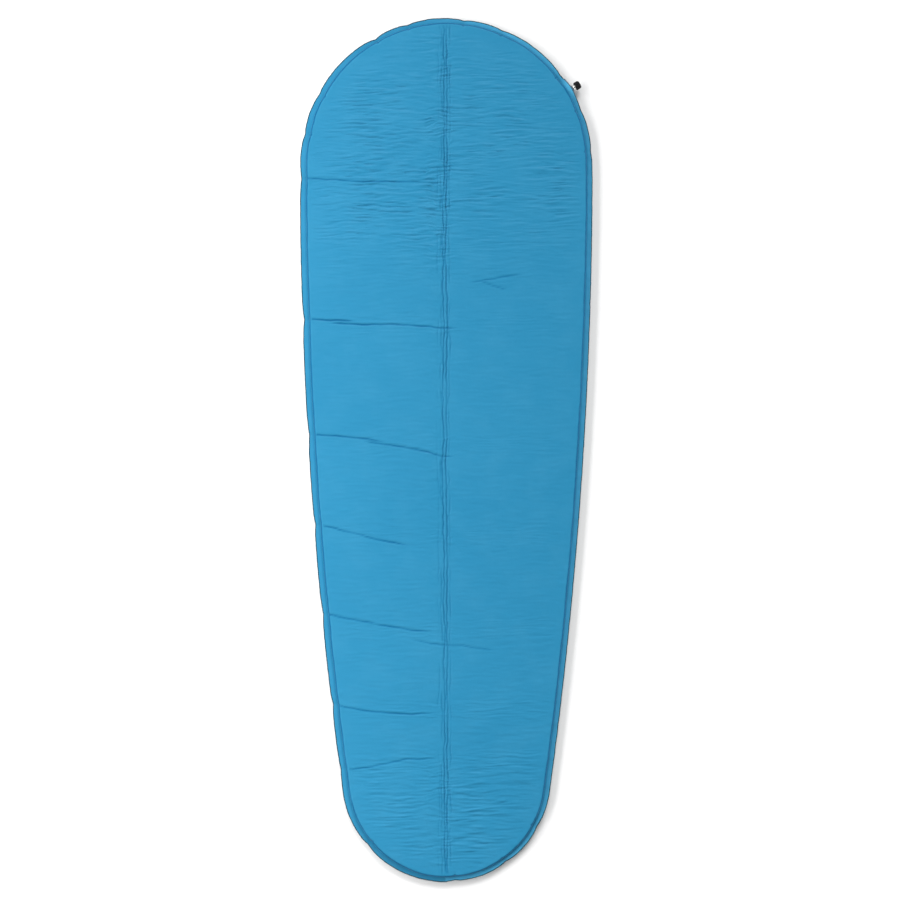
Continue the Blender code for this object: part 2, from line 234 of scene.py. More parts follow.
def notch_depth(s):
    """How far the outline is drawn in by the notches and the small waves of the welded edge."""
    depth = 0.45 * (1 + noise(s / 0.021, s * 0, 11)) + 0.3 * (1 + noise(s / 0.006, s * 0, 12))
    for place, deep, _ in PUCKERS:
        away = np.sqrt((s - place) ** 2 + NOTCH_ROUND**2) - NOTCH_ROUND
        depth = depth + NOTCH_SCALE * deep * np.exp(-away / NOTCH_REACH)
    return depth * MM * (1 - valve_lift(s) / BOOT_HALF_HEIGHT)


def valve_lift(s):
    """How far each sheet is lifted off the rim's middle plane by the valve's boot."""
    away = np.clip(np.abs(s - VALVE_RUN) / (BULGE_ANGLE * HEAD_RADIUS), 0, 1)
    return BOOT_HALF_HEIGHT * (1 + np.cos(math.pi * away)) / 2


def plain_rim(s):
    """The flat welded rim is widest down the left side."""
    left_side = smooth(-0.2, -0.36, s) * (1 - smooth(HEAD_RUN + SIDE_RUN, HALF_RUN, np.abs(s)))
    return RIM_NARROW + (RIM_BROAD - RIM_NARROW) * left_side


def rim_width(s):
    waves = 0.9 * noise(s / 0.045, s * 0 + 0.5, 13) + 0.4 * noise(s / 0.012, s * 0, 14)
    return plain_rim(s) + waves * MM


def inner_inset(s):
    """Inset of the innermost ring of a sheet's edge, where its face begins."""
    return plain_rim(s) + WALL_REACH + INNER_RINGS[-1]


def rim_wave(s, inset, rim):
    """How far the welded edge, both sheets together, waves up and down."""
    folds = np.zeros(s.shape)
    for place, deep, _ in PUCKERS:
        folds = folds - 0.45 * deep * np.exp(-(((s - place) / 0.0035) ** 2))
    wave = 0.5 * noise(s / 0.018, inset / 0.02, 15) + 0.25 * noise(s / 0.007, inset / 0.02, 16)
    fade = 1 - smooth(-0.001, 0.006, inset - rim)
    curl = RIM_CURL * np.clip(1 - inset / rim, 0, 1) ** 2
    return (curl + (wave + folds) * MM * fade) * (1 - valve_lift(s) / BOOT_HALF_HEIGHT)


# ---- relief of the top sheet

# Cross creases left by rolling the pad up: points, depth in mm, and which ends fade out
CREASES = (
    (((-0.293, 0.564), (-0.235, 0.5615), (-0.182, 0.558), (-0.03, 0.557)), 1.1, (0, 1)),
    (((-0.279, 0.2715), (-0.235, 0.2695), (-0.186, 0.2675)), 1.5, (0, 1)),
    (((-0.25, 0.264), (-0.18, 0.2605), (-0.122, 0.2608), (-0.09, 0.259)), 1.3, (1, 1)),
    (((-0.138, 0.2632), (-0.112, 0.2615), (-0.06, 0.258), (-0.019, 0.254), (0.03, 0.252)), 1.2, (1, 1)),
    (((-0.27, 0.0315), (-0.205, 0.027), (-0.143, 0.0195), (-0.118, 0.015)), 1.3, (0, 1)),
    (((-0.176, 0.019), (-0.135, 0.013), (-0.1, 0.0075), (-0.045, 0.001)), 1.2, (1, 1)),
    (((-0.085, 0.0045), (-0.04, -0.004), (-0.01, -0.0125), (0.02, -0.0135)), 1.1, (1, 1)),
    (((-0.255, -0.1565), (-0.199, -0.171), (-0.134, -0.188), (-0.06, -0.202)), 1.2, (0, 1)),
    (((-0.247, -0.3415), (-0.199, -0.351), (-0.14, -0.362)), 1.3, (0, 1)),
    (((-0.156, -0.359), (-0.11, -0.368), (-0.071, -0.374), (-0.026, -0.377)), 1.2, (1, 1)),
    (((-0.084, -0.391), (-0.05, -0.398), (-0.01, -0.405), (0.03, -0.406), (0.121, -0.42)), 0.8, (1, 1)),
    (
        ((-0.228, -0.53), (-0.19, -0.538), (-0.147, -0.544), (-0.071, -0.549), (-0.012, -0.545)),
        1.2,
        (0, 1),
    ),
    (((-0.201, -0.664), (-0.151, -0.6577), (-0.09, -0.643), (-0.01, -0.641)), 1.0, (0, 1)),
    (((0.04, 0.3485), (0.0706, 0.3505), (0.11, 0.3585), (0.1687, 0.366)), 0.8, (1, 1)),
    (((0.0706, 0.3505), (0.095, 0.343), (0.126, 0.331)), 0.75, (0, 1)),
)
CREASE_WIDTH = 1.9 * MM
CREASE_SCALE = 1.25

# The cloth simulation of the top sheet
CLOTH_STEP = 9 * MM
CLOTH_SPARE = 0.016  # spare fabric, as a share of its length
CLOTH_PUSH = 0.3  # upward pull that makes the spare fabric rise, in m/s2
CLOTH_BOND = 0.06  # how firmly the sheet is bonded to the foam under it
CLOTH_FRAMES = 24
CLOTH_SETTINGS = {
    "pin_stiffness": 1.0,
    "quality": 6,
    "mass": 0.05,
    "tension_stiffness": 20,
    "compression_stiffness": 20,
    "shear_stiffness": 8,
    "bending_stiffness": 0.08,
}
CLOTH_CAP = 6 * MM  # most that the cloth may rise or sink
CLOTH_SHARE = 0.8  # how much of its rise the sheet takes on

# Lengthwise grooves of the fold line: mean x, width and depth, in mm
FOLD_GROOVES = ((-16, 1.3, 0.65), (-10, 1.4, 1.0), (-4.6, 1.4, 1.6), (1.2, 1.4, 1.6), (7.6, 1.4, 0.95))
FOLD_DEEPEST = 1.6


def near_line(x, y, points):
    """Distance from a line of points, and the share of its length at the nearest point."""
    pairs = list(zip(points, points[1:]))
    lengths = [math.hypot(b[0] - a[0], b[1] - a[1]) for a, b in pairs]
    nearest = np.full(x.shape, 1e9)
    share = np.zeros(x.shape)
    before = 0.0
    for (a, b), length in zip(pairs, lengths):
        ux = (b[0] - a[0]) / length
        uy = (b[1] - a[1]) / length
        along = np.clip((x - a[0]) * ux + (y - a[1]) * uy, 0, length)
        away = np.hypot(x - a[0] - along * ux, y - a[1] - along * uy)
        closer = away < nearest
        nearest = np.where(closer, away, nearest)
        share = np.where(closer, (before + along) / sum(lengths), share)
        before += length
    return nearest, share


def groove(away, width):
    """Cross-section of a crease: a rounded valley of depth 1 between two low lips."""
    lips = np.exp(-(((np.abs(away) - 2.3 * width) / (1.1 * width)) ** 2))
    return 0.3 * lips - np.exp(-((away / width) ** 2))


def cross_creases(x, y):
    """Height of the cross creases, and the strength of the painted shade in them."""
    wander_x = x + 1.5 * MM * noise(x / 0.03, y / 0.03, 21)
    wander_y = y + MM * (1.3 * noise(x / 0.022, y / 0.05, 22) + 0.4 * noise(x / 0.007, y / 0.05, 23))
    height = np.zeros(x.shape)
    crease_shade = np.zeros(x.shape)
    for points, depth, fades in CREASES:
        xs, ys = zip(*points)
        close = (x > min(xs) - 0.02) & (x < max(xs) + 0.02)
        close &= (y > min(ys) - 0.015) & (y < max(ys) + 0.015)
        away, share = near_line(wander_x[close], wander_y[close], points)
        ends = smooth(0.0, 0.18, share) ** fades[0] * smooth(1.0, 0.8, share) ** fades[1]
        strength = 0.8 + 0.35 * noise(x[close] / 0.03, y[close] / 0.5, 24)
        width = CREASE_WIDTH * (0.55 + 0.45 * ends)
        height[close] += CREASE_SCALE * depth * MM * ends * strength * groove(away, width)
        line = 0.72 * ends * strength * np.exp(-((away / width) ** 2)) * depth / 1.3
        crease_shade[close] = np.maximum(crease_shade[close], line)
    return height, crease_shade


def fold_line(x, y):
    """Height of the lengthwise fold's grooves, and the strength of the painted shade in them."""
    height = -0.7 * np.exp(-((x / 0.02) ** 2))  # in mm
    crease_shade = np.zeros(x.shape)
    for i, (mean, width, depth) in enumerate(FOLD_GROOVES):
        lane = y * 0 + 1.37 * i + 0.5
        wander = 2.2 * noise(y / 0.16, y * 0 + 0.5, 30)
        wander = wander + 2.6 * noise(y / 0.06, lane, 31) + 1.3 * noise(y / 0.018, lane, 32)
        least = 0.7 if 1 < i < len(FOLD_GROOVES) - 1 else 0.0
        strength = least + (1.1 - least) * smooth(-0.6, 0.5, noise(y / 0.05, lane, 33))
        away = x / MM - mean - wander
        height = height + depth * strength * groove(away, width)
        line = 0.46 * strength * np.exp(-((away / width) ** 2)) * depth / FOLD_DEEPEST
        crease_shade = np.maximum(crease_shade, line)
    slant = (y + 0.75 * x + 2.5 * MM * noise(x / 0.02, y / 0.03, 34)) / 0.0085
    beside = smooth(-0.048, -0.034, x) * (1 - smooth(-0.022, -0.014, x))
    patches = smooth(-0.25, 0.5, noise(x / 0.05, y / 0.045, 35))
    height = height + 0.3 * beside * patches * noise(slant, x / 0.03, 36)
    right = smooth(0.01, 0.016, x) * (1 - smooth(0.022, 0.036, x))
    height = height + 0.14 * right * noise((y - 0.5 * x) / 0.007, x / 0.02, 37)
    return MM * height, crease_shade


def puckers(inset, s, rim):
    """Folds from the notches of the welded edge up the rounded side: their height, and the strength of
    the painted shade in them."""
    height = np.zeros(s.shape)
    crease_shade = np.zeros(s.shape)
    near = 1 - smooth(-0.002, 0.001, inset - rim - WALL_REACH)
    for i, (place, deep, reach) in enumerate(PUCKERS):
        if not reach:
            continue
        wander = 2.0 * MM * noise(inset / 0.02, inset * 0 + i, 41)
        away = (s - place) - wander * smooth(0.008, 0.03, inset)
        fade = np.exp(-np.clip(inset - rim - WALL_REACH * 0.5, 0, None) / reach)
        strength = fade * smooth(-0.001, 0.004, inset - rim) * near
        height = height + 0.55 * deep * MM * strength * groove(away, 2.4 * MM)
        crease_shade = np.maximum(crease_shade, 0.6 * strength * np.exp(-((away / (2.0 * MM)) ** 2)))
    return height, crease_shade


def wrinkles(x, y, period, length, seed):
    """Fine cross wrinkles that wander, merge and fan out."""
    bend = 8.0 * noise(x / 0.075, y / 0.05, seed) + 3.2 * noise(x / 0.028, y / 0.02, seed + 1)
    u = x / length
    v = (y + bend * MM) / period
    first = noise(u, v, seed + 2)
    second = noise(u * 1.7 + 7, v * 1.5, seed + 3)
    valley = np.clip(1 - 2.4 * np.abs(noise(u * 0.8 + 3, v * 0.8, seed + 4)), 0, 1)
    crest = np.clip(1 - 2.6 * np.abs(noise(u * 0.9 + 11, v * 0.9, seed + 5)), 0, 1)
    return 0.45 * first + 0.25 * second - 0.35 * valley**2.5 + 0.45 * crest**2.5


def fine_relief(x, y):
    """Fine wrinkles of the face: deepest at the head and the foot, faint down the two halves."""
    head = smooth(0.34, 0.52, y) * (1 - 0.45 * smooth(0.7, 0.84, y))
    foot = smooth(-0.62, -0.7, y)
    uneven = smooth(-0.3, 0.5, noise(x / 0.13, y / 0.16, 51))
    right = smooth(0.005, 0.05, x) * (0.45 + 0.55 * uneven)
    patches = smooth(-0.5, 0.35, noise(x / 0.1, y / 0.055, 52))
    left = 1 - smooth(-0.05, 0.03, x)
    amount = 0.66 + (2.6 + 0.9 * left) * head * (0.3 + 0.7 * patches)
    amount = amount + 2.2 * foot * (0.35 + 0.65 * patches) + 0.22 * right * (1 - head)
    amount = amount + 0.6 * right * smooth(-0.2, -0.6, y) + 0.28 * left * (1 - head)
    inset, run = inset_and_run(x, y)
    calm = 0.25 + 0.75 * smooth(0.01, 0.05, inset - plain_rim(run))
    return calm * amount * MM * wrinkles(x, y, 0.0054, 0.044, 53)


def settle_cloth():
    """The top sheet as cloth with a little more fabric than its frame: pinned at the weld, the fold
    line and the cross creases, and pushed up from below. Gives the rise on a regular grid."""
    across = np.arange(-HEAD_RADIUS, HEAD_RADIUS + CLOTH_STEP, CLOTH_STEP)
    along = np.arange(-PAD_LENGTH / 2, PAD_LENGTH / 2 + CLOTH_STEP, CLOTH_STEP)
    grid_x, grid_y = np.meshgrid(across, along)
    rise = np.zeros(grid_x.shape)
    inset, run = inset_and_run(grid_x, grid_y)
    start = plain_rim(run) + WALL_REACH
    used = inset > start
    _, cells = numbered(whole_cells(used), used, 0)
    gx = grid_x[used]
    gy = grid_y[used]
    _, in_crease = cross_creases(gx, gy)
    at_edge = inset[used] < start[used] + 1.5 * CLOTH_STEP
    held = at_edge | (np.abs(gx) < CLOTH_STEP) | (in_crease > 0.08)
    ripple = 0.3 * MM * noise(gx / 0.05, gy / 0.03, 64)
    points = np.stack([gx, gy, ripple], axis=1)
    made = placed("cloth", mesh_of("cloth", points, cells.tolist()))
    scene = bpy.context.scene
    made.shape_key_add(name="frame")
    cut = made.shape_key_add(name="cut")
    sizes = np.stack([gx * (1 + CLOTH_SPARE / 6), gy * (1 + CLOTH_SPARE), ripple], axis=1)
    cut.data.foreach_set("co", sizes.ravel())
    pins = made.vertex_groups.new(name="held")
    pins.add(np.nonzero(held)[0].tolist(), 1.0, "REPLACE")
    pins.add(np.nonzero(~held)[0].tolist(), CLOTH_BOND, "REPLACE")
    cloth = made.modifiers.new("cloth", "CLOTH")
    for setting, value in CLOTH_SETTINGS.items():
        setattr(cloth.settings, setting, value)
    cloth.settings.vertex_group_mass = "held"
    cloth.settings.rest_shape_key = made.data.shape_keys.key_blocks["cut"]
    cloth.collision_settings.use_collision = False
    cloth.point_cache.frame_end = CLOTH_FRAMES
    gravity = tuple(scene.gravity)
    scene.gravity = (0.0, 0.0, CLOTH_PUSH)
    for number in range(1, CLOTH_FRAMES + 1):
        scene.frame_set(number)
    settled = made.evaluated_get(bpy.context.evaluated_depsgraph_get()).to_mesh()
    rise[used] = np.clip(coordinates(settled)[:, 2], -CLOTH_CAP, CLOTH_CAP)
    scene.gravity = gravity
    bpy.data.objects.remove(made)
    scene.frame_set(1)
    return across, along, rise


def cloth_rise(x, y):
    """Rise of the settled cloth at any point, smoothly between the points of its grid."""
    across, along, rise = CLOTH
    u = np.clip((x - across[0]) / CLOTH_STEP, 1, len(across) - 2.001)
    v = np.clip((y - along[0]) / CLOTH_STEP, 1, len(along) - 2.001)
    col = np.floor(u).astype(int)
    row = np.floor(v).astype(int)
    total = np.zeros(x.shape)
    for j in (-1, 0, 1, 2):
        row_j = np.clip(row + j, 0, len(along) - 1)
        for i in (-1, 0, 1, 2):
            col_i = np.clip(col + i, 0, len(across) - 1)
            total += spline(u - col - i) * spline(v - row - j) * rise[row_j, col_i]
    return total


def spline(t):
    """Weight of a uniform cubic B-spline at distance t."""
    t = np.abs(t)
    near = 2 / 3 - t * t + t**3 / 2
    far = np.clip(2 - t, 0, None) ** 3 / 6
    return np.where(t < 1, near, far)


def undulation(x, y):
    """Soft unevenness of the face, with the rise of the settled cloth."""
    broad = 0.4 * noise(x / 0.13, y / 0.11, 61) + 0.22 * noise(x / 0.05, y / 0.042, 62)
    ends = np.maximum(smooth(0.34, 0.52, y), smooth(-0.62, -0.7, y))
    return MM * (broad - 0.1) + CLOTH_SHARE * (0.75 + 0.25 * ends) * cloth_rise(x, y)


def side_waves(inset, s, rim):
    """Small waves of the rounded side, where the flat sheet is drawn round a curve."""
    wall = smooth(0.0, 0.004, inset - rim) * (1 - smooth(0.012, 0.03, inset - rim))
    broken = smooth(-0.1, 0.5, noise(s / 0.06, s * 0 + 0.5, 72))
    return wall * (0.25 + 0.55 * broken) * MM * noise(s / 0.01, inset / 0.02, 71)


def weld_line(inset, s, rim):
    """Strength of the painted shade along the line where the welded rim meets the rounded side,
    strongest at the upper left of the head.
    """
    upper_left = smooth(head_run(176), head_run(168), s) * smooth(head_run(84), head_run(100), s)
    side = np.where(s < 0, 0.74, 0.8) + 0.15 * noise(s / 0.05, s * 0 + 0.5, 17)
    line = np.exp(-(((inset - rim - 1.8 * MM) / (1.7 * MM)) ** 2))
    return np.clip(side + (1.25 - side) * upper_left, 0, 1.25) * line


def top_relief(x, y, inset, s, rim):
    """Height of the top sheet over its plain form, and the strength of the painted shade in its creases
    and weld line.
    """
    inside = smooth(0.0, 0.012, inset - rim)
    fold, fold_shade = fold_line(x, y)
    cross, cross_shade = cross_creases(x, y)
    radial, radial_shade = puckers(inset, s, rim)
    off_rim = smooth(-0.002, 0.004, inset - rim)
    height = inside * (fold + fine_relief(x, y) + undulation(x, y)) + off_rim * cross + radial
    crease_shade = np.maximum(np.maximum(fold_shade * inside, cross_shade * off_rim), radial_shade)
    return height + side_waves(inset, s, rim), np.maximum(crease_shade, weld_line(inset, s, rim))


def bottom_relief(x, y, inset, s, rim):
    """The same for the bottom sheet, which is plainer."""
    inside = smooth(0.0, 0.012, inset - rim)
    soft = 0.35 * noise(x / 0.12, y / 0.12, 81) + 0.25 * noise(x / 0.05, y / 0.05, 82)
    radial, crease_shade = puckers(inset, s, rim)
    height = 0.6 * (inside * MM * (soft - 0.1) + radial)
    return height + side_waves(inset, s, rim), np.maximum(crease_shade, weld_line(inset, s, rim))


# ---- sheets


def spaced(low, high, step):
    """Numbers from low to high whose spacing follows step(value)."""
    values = [low]
    while values[-1] < high:
        values.append(values[-1] + step(values[-1]))
    wanted = high - low
    reached = values[-1] - low
    return np.array(values) * wanted / reached + low * (1 - wanted / reached)


def whole_cells(kept):
    """Which cells of a grid have all four corners among the kept points."""
    return kept[:-1, :-1] & kept[1:, :-1] & kept[:-1, 1:] & kept[1:, 1:]


def numbered(full, used, start):
    """Numbers of the used points of a grid, from start on, and its full cells as quads of them."""
    index = np.full(used.shape, -1)
    index[used] = start + np.arange(used.sum())
    corners = (index[:-1, :-1], index[:-1, 1:], index[1:, 1:], index[1:, :-1])
    return index, np.stack([c[full] for c in corners], axis=1)


def band_faces(count, first, second, up):
    """Quads between two closed rings of vertices."""
    i = np.arange(count)
    j = (i + 1) % count
    quads = np.stack([first + i, second + i, second + j, first + j], axis=1)
    return quads[:, ::up]


def edge_rings(up, s, rim, plain_z):
    """Rings of a sheet's edge, from its cut to its face: inset, z of the plain form, outward and upward
    share of its normal, and distance along the cut cloth."""
    lift = valve_lift(s)
    rings = [(0 * s, RIM_Z + up * (EDGE_GAP + lift), 0.7, 0.7, 0 * s)]
    for share in (0.015, 0.12, 0.3, 0.5, 0.7, 0.85, 0.94):
        sag = 0.12 * MM * math.sin(math.pi * share)
        z = RIM_Z + up * (RIM_HALF - sag + lift)
        rings.append((rim * share, z, 0.0, 1.0, rim * share))
    rings.append((rim * 0.99, RIM_Z + up * (0.25 * RIM_HALF + lift), 0.0, 1.0, rim))
    height = (plain_z - RIM_Z) * up - 0.25 * RIM_HALF
    flat = rim.copy()
    last = (rim * 0.99, 0 * s)
    for degrees in (4, 12, 22, 33, 44, 55, 65, 74, 82, 90):
        phi = math.radians(degrees)
        inset = rim + WALL_REACH * (1 - math.cos(phi)) - WALL_OVERHANG * math.sin(2 * phi)
        rise = 0.25 * RIM_HALF + height * math.sin(phi)
        z = RIM_Z + up * (rise + lift * (1 - math.sin(phi)))
        flat = flat + np.hypot(inset - last[0], rise - last[1])
        last = (inset, rise + 0 * s)
        outward = height * math.cos(phi)
        upward = WALL_REACH * math.sin(phi)
        slope = math.hypot(outward, upward)
        rings.append((inset, z, outward / slope, upward / slope, flat))
    for more in INNER_RINGS:
        share = more / INNER_RINGS[-1]
        inset = (rim + WALL_REACH) * (1 - share) + inner_inset(s) * share
        flat = flat + (inset - rings[-1][0])
        rings.append((inset, plain_z + 0 * s, 0.0, 1.0, flat))
    return rings


def ragged_band(index, full, columns, rows, ring, u, v):
    """Triangles between the innermost ring and the stepped border of the face's grid."""
    padded = np.pad(full, 1)
    row, col = np.nonzero(padded[:-1, 1:-1] != padded[1:, 1:-1])
    edges = list(zip(index[row, col], index[row, col + 1]))
    row, col = np.nonzero(padded[1:-1, :-1] != padded[1:-1, 1:])
    edges += list(zip(index[row, col], index[row + 1, col]))
    edges += list(zip(ring, np.roll(ring, -1)))
    ids = sorted({i for edge in edges for i in edge})
    local = {i: n for n, i in enumerate(ids)}
    points = [Vector((u[i], v[i])) for i in ids]
    links = [(local[a], local[b]) for a, b in edges]
    flat_points, _, flat_faces, origin, _, _ = delaunay_2d_cdt(points, links, [], 0, 1e-9)
    triangles = np.array([face for face in flat_faces if len(face) == 3])
    middle = np.array([tuple(point) for point in flat_points])[triangles].mean(axis=1)
    inset, run = inset_and_run(middle[:, 0], middle[:, 1])
    outside = inset < inner_inset(run) - 0.02 * MM
    col = np.clip(np.searchsorted(columns, middle[:, 0]) - 1, 0, full.shape[1] - 1)
    row = np.clip(np.searchsorted(rows, middle[:, 1]) - 1, 0, full.shape[0] - 1)
    back = np.array([ids[first[0]] for first in origin])
    return back[triangles[~outside & ~full[row, col]]]


def build_sheet(name, up, columns, rows, relief, plain_z, widen=0.0):
    """One continuous sheet, facing up (1) or down (-1), and the area of its cut cloth. Its edge is
    rings of points and its face a grid. The UV map holds the shape of the cut cloth."""
    s = spaced(-HALF_RUN, HALF_RUN, edge_step)[:-1]
    count = len(s)
    edge_x, edge_y, out_x, out_y = outline(s)
    rim = rim_width(s)
    drawn_in = EDGE_ROOM + notch_depth(s) - widen
    rings = edge_rings(up, s, rim, plain_z)
    inner = rings[-1][0]
    margin = rings[-1][4] - inner  # what the rounded side takes up

    def at(reach):
        return edge_x - out_x * reach, edge_y - out_y * reach

    parts = []  # x, y, z, u, v and painted crease shade of each ring's points, and then of the grid's
    for inset, z, out, rise, flat in rings:
        pulled = inset + drawn_in * np.clip(1 - inset / inner, 0, 1)
        h, crease_shade = relief(*at(inset), inset, s, rim)
        z = z + up * rise * h + rim_wave(s, inset, rim)
        parts.append((*at(pulled - out * h), z, *at(flat - margin), crease_shade))
    faces = [band_faces(count, j * count, (j + 1) * count, up) for j in range(len(rings) - 1)]

    grid_x, grid_y = np.meshgrid(columns, rows)
    inset, run = inset_and_run(grid_x, grid_y)
    full = whole_cells(inset > inner_inset(run) + GRID_GAP)
    used = np.zeros(inset.shape, bool)
    for a, b in ((0, 0), (0, 1), (1, 0), (1, 1)):
        used[a : a + full.shape[0], b : b + full.shape[1]] |= full
    index, cells = numbered(full, used, len(rings) * count)
    x = grid_x[used]
    y = grid_y[used]
    h, crease_shade = relief(x, y, inset[used], run[used], rim_width(run[used]))
    parts.append((x, y, plain_z + up * h, x, y, crease_shade))
    x, y, z, u, v, painted_crease_shade = (np.concatenate(part) for part in zip(*parts))
    ring = (len(rings) - 1) * count + np.arange(count)
    for group in (cells, ragged_band(index, full, columns, rows, ring, u, v)):
        faces.append(group[:, ::up])

    all_faces = [face for group in faces for face in group.tolist()]
    mesh = mesh_of(name, np.stack([x, y, z], axis=1), all_faces)
    layer = mesh.uv_layers.new(name="flat")
    loops = np.zeros(len(mesh.loops), np.int32)
    mesh.loops.foreach_get("vertex_index", loops)
    layer.data.foreach_set("uv", np.stack([u[loops], v[loops]], axis=1).astype(np.float32).ravel())
    mesh.shade_smooth()
    # painted shade: darkens the fabric in creases, fold grooves and along the weld line
    store(mesh, "crease", painted_crease_shade)
    x, y = at(-margin)
    area = abs(np.sum(x * np.roll(y, -1) - y * np.roll(x, -1))) / 2
    return placed(name, mesh), float(area)


def edge_step(s):
    return EDGE_FINE if abs(s - VALVE_RUN) < BULGE_ANGLE * HEAD_RADIUS * 1.3 else EDGE_STEP


def top_sheet():
    """The top sheet, finest at the fold line, the cross creases and the wrinkled head."""
    crease_rows = (0.56, 0.262, 0.01, -0.178, -0.372, -0.54, -0.652)

    def column_step(x):
        return 1.8 * MM if -0.046 < x < 0.018 else 9.5 * MM

    def row_step(y):
        near = min(abs(y - row) for row in crease_rows)
        if near < 0.022 or 0.4 < y < 0.8:
            return 1.5 * MM
        return 1.9 * MM if y > 0.34 or y < -0.62 else 2.5 * MM

    columns = spaced(-HEAD_RADIUS, HEAD_RADIUS, column_step)
    rows = spaced(-PAD_LENGTH / 2, PAD_LENGTH / 2, row_step)
    return build_sheet("top_sheet", 1, columns, rows, top_relief, TOP_Z)


def bottom_sheet():
    """The bottom sheet, finest at the fold line."""
    columns = spaced(-HEAD_RADIUS, HEAD_RADIUS, lambda x: 2.5 * MM if abs(x) < 0.034 else 9 * MM)
    rows = spaced(-PAD_LENGTH / 2, PAD_LENGTH / 2, lambda y: 9 * MM)
    return build_sheet("bottom_sheet", -1, columns, rows, bottom_relief, BOTTOM_Z, widen=BOTTOM_PROUD)


# ---- foam core


def foam_core():
    """A slab with rounded sides and a slightly uneven surface, inside the two sheets."""
    s = spaced(-HALF_RUN, HALF_RUN, lambda s: 12 * MM)[:-1]
    count = len(s)
    edge_x, edge_y, out_x, out_y = outline(s)
    start = rim_width(s) + 2.6 * MM + 0.6 * notch_depth(s)
    middle = (FOAM_LOW + FOAM_HIGH) / 2
    half = (FOAM_HIGH - FOAM_LOW) / 2
    notch = 1 - smooth(0.8, 1.15, np.abs(s - VALVE_RUN) / (BULGE_ANGLE * HEAD_RADIUS))
    start = start + 0.014 * notch  # room for the valve's boot
    verts = []
    for degrees in (-90, -60, -30, 0, 30, 60, 90):
        phi = math.radians(degrees)
        inset = start + (WALL_REACH - 2 * MM) * (1 - math.cos(phi))
        z = middle + half * math.sin(phi) + 0.15 * MM * noise(s / 0.02, s * 0, 91)
        verts.append(np.stack([edge_x - out_x * inset, edge_y - out_y * inset, z], axis=1))
    faces = [band_faces(count, j * count, (j + 1) * count, 1) for j in range(len(verts) - 1)]
    # rings that shrink towards the middle line, closer together near the fold, where the foam dips
    shares = np.append(np.linspace(1.0, 0.12, 10)[1:], np.linspace(0.1, 0.0, 7))
    for up, ring in ((1, len(verts) - 1), (-1, 0)):
        base = verts[ring]
        spine_y = np.clip(base[:, 1], FOOT_Y, HEAD_Y)
        for share in shares:
            x = base[:, 0] * share
            y = spine_y + (base[:, 1] - spine_y) * share
            z = middle + up * half + 0.2 * MM * noise(x / 0.03, y / 0.03, 92)
            z = z - up * FOAM_DIP * np.exp(-((x / 0.03) ** 2))
            faces.append(band_faces(count, ring * count, len(verts) * count, up))
            ring = len(verts)
            verts.append(np.stack([x, y, z], axis=1))
    mesh = mesh_of("foam_core", np.concatenate(verts), np.concatenate(faces).tolist())
    weld(mesh, 0.2 * MM)
    return placed("foam_core", mesh)


def weld(mesh, reach):
    """Joins vertices closer than that, turns all faces outward and shades them smooth."""
    bm = bmesh.new()
    bm.from_mesh(mesh)
    bmesh.ops.remove_doubles(bm, verts=bm.verts, dist=reach)
    bmesh.ops.recalc_face_normals(bm, faces=bm.faces)
    bm.to_mesh(mesh)
    bm.free()
    mesh.shade_smooth()


# ---- valve

CORNER_STEPS = 3


def valve_matrix():
    """From the valve's own frame, whose +Z points outward along its axis, to the pad's."""
    c = math.cos(VALVE_ANGLE)
    n = math.sin(VALVE_ANGLE)
    place = (HEAD_RADIUS * c, HEAD_Y + HEAD_RADIUS * n, RIM_Z)
    return Matrix(((0, -n, c, place[0]), (0, c, n, place[1]), (-1, 0, 0, place[2]), (0, 0, 0, 1)))


def ringed(name, rings):
    """A closed body of the valve from rings in the valve's own frame, the last joined to the first."""
    count = len(rings)
    steps = len(rings[0])
    faces = [band_faces(steps, a * steps, ((a + 1) % count) * steps, 1) for a in range(count)]
    mesh = mesh_of(name, np.concatenate(rings), np.concatenate(faces).tolist())
    mesh.transform(valve_matrix())
    weld(mesh, 0.002 * MM)
    return placed(name, mesh)


def turned(name, profile, steps, radius_at):
    """A closed turned body from a profile in mm. radius_at(radius, height, angles) shapes each ring."""
    angles = np.arange(steps) * (2 * math.pi / steps)
    rings = []
    for radius, height in profile:
        r = radius_at(radius, height, angles)
        ring = np.stack([r * np.cos(angles), r * np.sin(angles), height + 0 * angles], axis=1)
        rings.append(MM * ring)
    return ringed(name, rings)


def rounded(points):
    """A closed profile of radius and height, each corner rounded off by its point's third value."""
    made = []
    for i, (radius, height, reach) in enumerate(points):
        here = Vector((radius, height))
        before = Vector(points[i - 1][:2]) - here
        after = Vector(points[(i + 1) % len(points)][:2]) - here
        if not reach:
            made.append(tuple(here))
            continue
        reach = min(reach, before.length * 0.45, after.length * 0.45)
        a = here + before.normalized() * reach
        b = here + after.normalized() * reach
        for k in range(CORNER_STEPS + 1):
            t = k / CORNER_STEPS
            made.append(tuple(a * (1 - t) ** 2 + here * 2 * t * (1 - t) + b * t * t))
    return made


